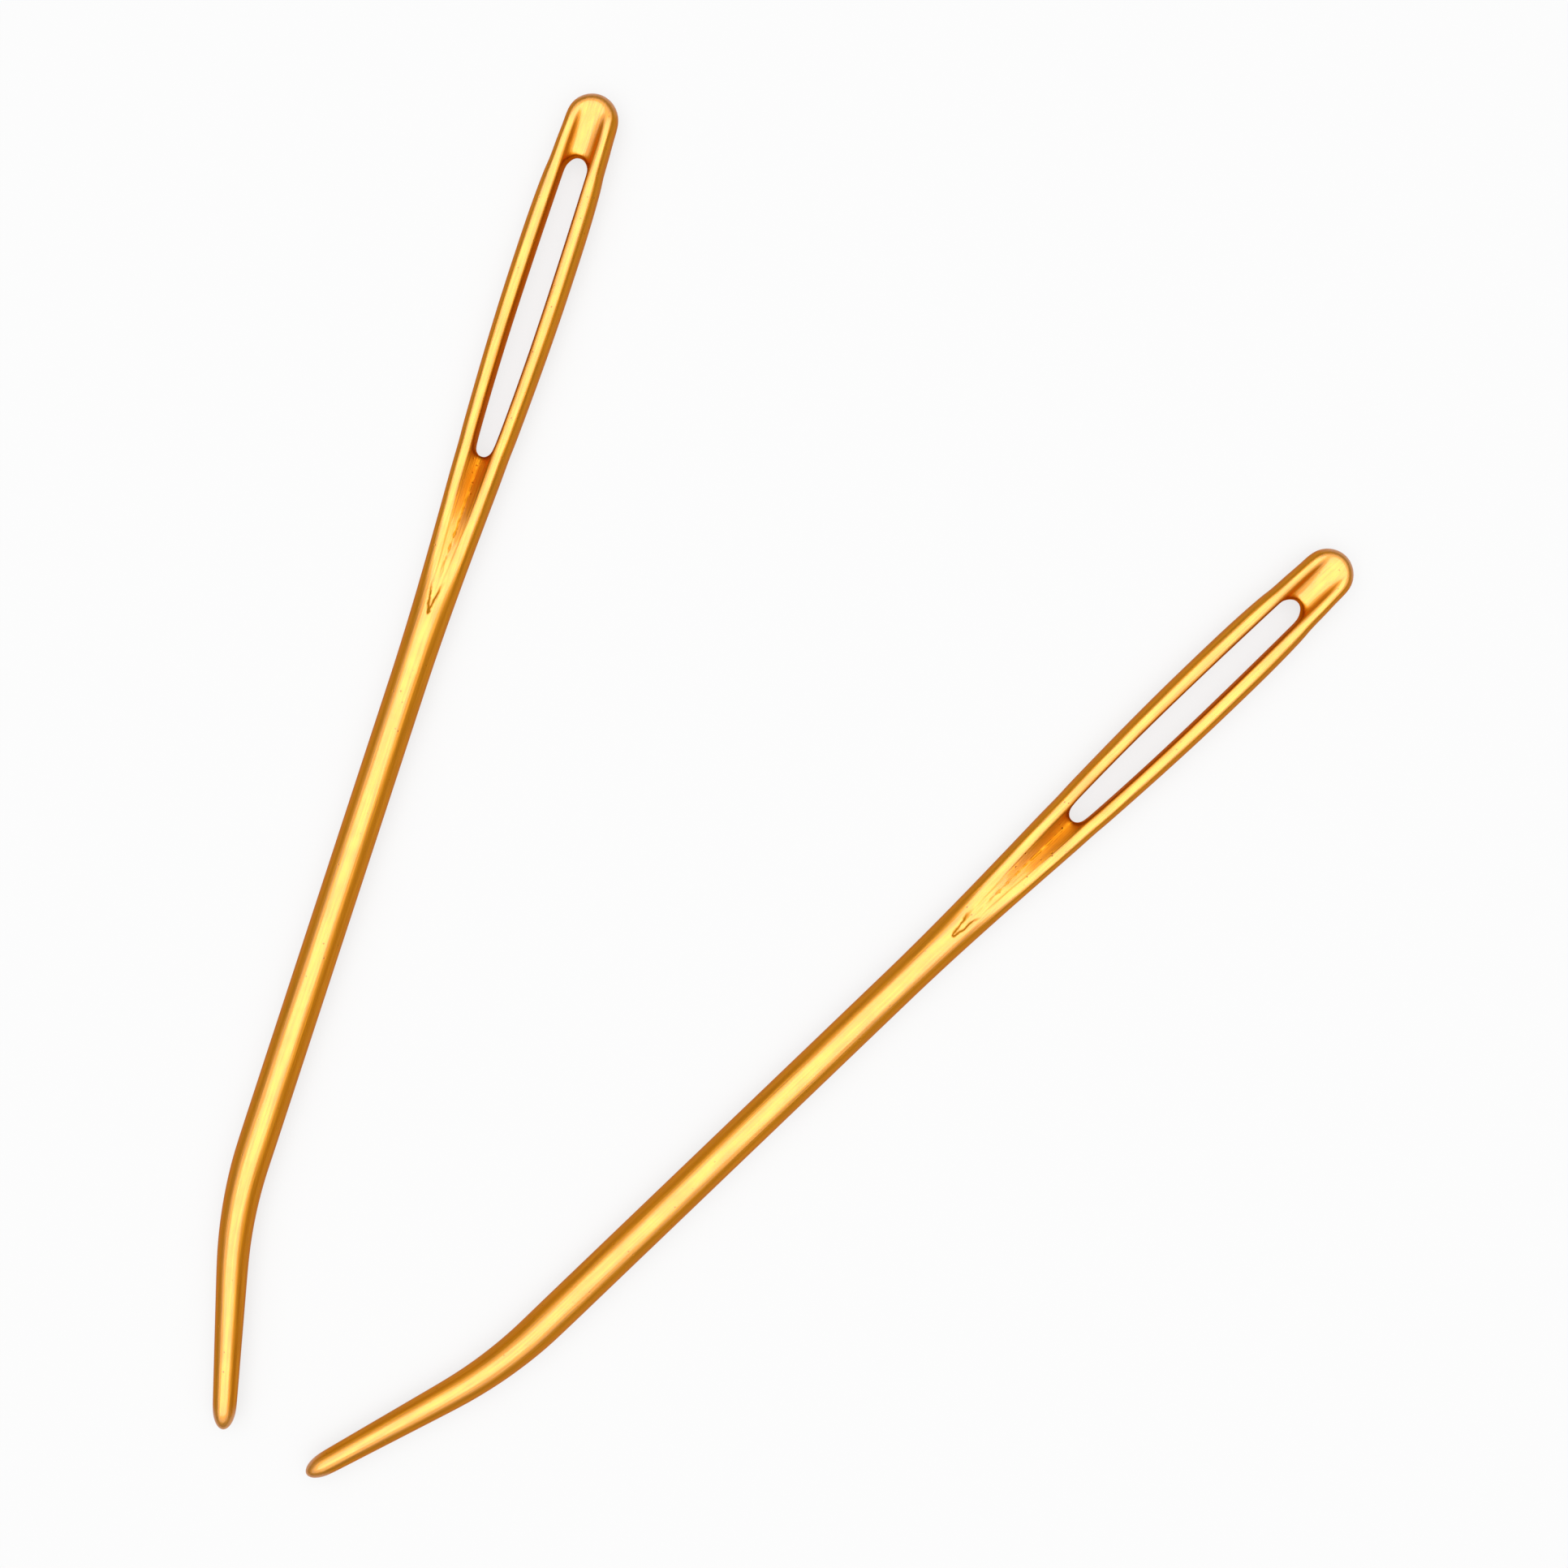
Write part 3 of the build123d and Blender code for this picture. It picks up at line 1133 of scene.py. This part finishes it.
@dataclass
class NeedlePair:
    """The two needles, laid as they lie in the photograph."""

    shape: NeedleMesh
    layings: tuple[Laying, ...] = (
        Laying(Side.LEFT, (-25.3 * MILLIMETRE, 2.1 * MILLIMETRE), 71.86, False),
        Laying(Side.RIGHT, (4.1 * MILLIMETRE, -15.9 * MILLIMETRE), 43.78, True),
    )
    pieces: dict[Side, bpy.types.Object] = field(default_factory=dict)

    def build(self) -> None:
        """Model the needle once, copy it for its twin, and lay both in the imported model's frame."""
        needle = self.shape.make()
        needle.data.materials.append(GoldMaterial(GoldFinish(), self.shape).make())
        twin = needle.copy()
        twin.data = needle.data.copy()
        bpy.context.collection.objects.link(twin)
        self.pieces = {laying.side: piece for laying, piece in zip(self.layings, (needle, twin))}
        shift = self.shift()
        for laying in self.layings:
            self.lay(laying, shift)

    def shift(self) -> Vector:
        """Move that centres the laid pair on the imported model's box.

        Returns:
            The move.
        """
        corners = [
            laying.matrix(Vector()) @ vertex.co
            for laying in self.layings
            for vertex in self.pieces[laying.side].data.vertices
        ]
        low, high = (
            Vector([pick(corner[axis] for corner in corners) for axis in range(3)]) for pick in (min, max)
        )
        box_low, box_high = (Vector(corner) for corner in CAD_BOX)
        return (box_low + box_high) / 2 - (low + high) / 2

    def lay(self, laying: Laying, shift: Vector) -> None:
        """Lay one needle and let it ride on its body in place of the body's plain solids.

        Args:
            laying: How it lies.
            shift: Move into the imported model's frame.
        """
        piece = self.pieces[laying.side]
        piece.name = f"{laying.side.value}_gold"
        piece.data.name = piece.name
        piece.matrix_world = laying.matrix(shift)
        bpy.ops.object.select_all(action="DESELECT")
        piece.select_set(True)
        bpy.context.view_layer.objects.active = piece
        bpy.ops.object.transform_apply(location=True, rotation=True, scale=True)
        prefix = laying.side.value.split("_")[0]
        solids = sorted(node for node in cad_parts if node.startswith(prefix))
        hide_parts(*solids)
        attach(piece, laying.side.value)
        log.info("%s: %d faces", piece.name, len(piece.data.polygons))


@dataclass(frozen=True)
class SoftLight:
    """A square soft light that hangs level over the needles."""

    name: str
    size: float
    height: float
    radiance: float

    def hang(self) -> None:
        """Add the light."""
        data = bpy.data.lights.new(self.name, "AREA")
        data.shape = "SQUARE"
        data.size = self.size
        data.energy = self.radiance * math.pi * self.size**2
        light = bpy.data.objects.new(self.name, data)
        light.location = (0, 0, self.height)
        bpy.context.collection.objects.link(light)


@dataclass
class Studio:
    """Pale floor, soft lights and the camera straight above."""

    floor_size: float = 4.0
    floor_shade: float = 0.44
    floor_glow: float = 0.74
    room_radiance: float = 0.37
    picture_width: float = 99.93 * MILLIMETRE
    picture_centre: tuple[float, float] = (0.052 * MILLIMETRE, 0.103 * MILLIMETRE)
    subject_height: float = 1.2 * MILLIMETRE
    lens: float = 50.0
    sensor: float = 36.0
    lights: tuple[SoftLight, ...] = (
        SoftLight("inner_softbox", 0.74, 0.50, 2.1),
        SoftLight("outer_softbox", 1.70, 0.52, 1.1),
    )

    def build(self) -> None:
        """Set up the floor, the room, the lights and the camera."""
        self.lay_floor()
        self.light_room()
        for light in self.lights:
            light.hang()
        self.place_camera()
        bpy.context.scene.view_settings.view_transform = "Standard"

    def lay_floor(self) -> None:
        """Lay the plain floor at the level that the needles rest on."""
        bpy.ops.mesh.primitive_plane_add(size=self.floor_size, location=(0, 0, CAD_BOX[0][2]))
        floor = bpy.context.object
        floor.name = "floor"
        material = bpy.data.materials.new("pale_floor")
        material.use_nodes = True
        tree = Tree.of(material.node_tree)
        shader = tree.nodes["Principled BSDF"]
        shader.inputs["Base Color"].default_value = (self.floor_shade, self.floor_shade, self.floor_shade, 1)
        shader.inputs["Roughness"].default_value = 1.0
        shader.inputs["Specular IOR Level"].default_value = 0.0
        glow = tree.add("ShaderNodeEmission")
        path = tree.add("ShaderNodeLightPath")
        seen = tree.math(Operator.ADD, path.outputs["Is Camera Ray"], path.outputs["Is Glossy Ray"])
        seen = tree.math(Operator.ADD, seen, path.outputs["Is Transmission Ray"])
        blend = tree.add("ShaderNodeMixShader")
        tree.feed(blend.inputs[0], tree.math(Operator.MULTIPLY, seen, self.floor_glow))
        tree.feed(blend.inputs[1], shader.outputs["BSDF"])
        tree.feed(blend.inputs[2], glow.outputs["Emission"])
        tree.feed(tree.nodes["Material Output"].inputs["Surface"], blend.outputs["Shader"])
        floor.data.materials.append(material)

    def light_room(self) -> None:
        """Fill the room with even light, and make its backdrop white to the camera."""
        world = bpy.data.worlds.new("room")
        world.use_nodes = True
        tree = Tree.of(world.node_tree)
        room = tree.nodes["Background"]
        room.inputs["Color"].default_value = (1, 1, 1, 1)
        room.inputs["Strength"].default_value = self.room_radiance
        backdrop = tree.add("ShaderNodeBackground")
        backdrop.inputs["Color"].default_value = (1, 1, 1, 1)
        blend = tree.add("ShaderNodeMixShader")
        tree.feed(blend.inputs[0], tree.add("ShaderNodeLightPath").outputs["Is Camera Ray"])
        tree.feed(blend.inputs[1], room.outputs["Background"])
        tree.feed(blend.inputs[2], backdrop.outputs["Background"])
        tree.feed(tree.nodes["World Output"].inputs["Surface"], blend.outputs["Shader"])
        bpy.context.scene.world = world

    def place_camera(self) -> None:
        """Hang the camera over the middle of the picture, with the Y axis upwards in it."""
        data = bpy.data.cameras.new("camera")
        data.lens = self.lens
        data.sensor_width = self.sensor
        data.clip_start = MILLIMETRE
        camera = bpy.data.objects.new("camera", data)
        distance = self.lens / self.sensor * self.picture_width
        camera.location = (*self.picture_centre, self.subject_height + distance)
        bpy.context.collection.objects.link(camera)
        bpy.context.scene.camera = camera


def main() -> None:
    """Build the needles, then the studio round them."""
    logging.basicConfig(level=logging.INFO, format="%(message)s")
    NeedlePair(NeedleMesh()).build()
    log.info("needle pair built")
    Studio().build()
    log.info("studio built")


if __name__ == "__main__":
    main()
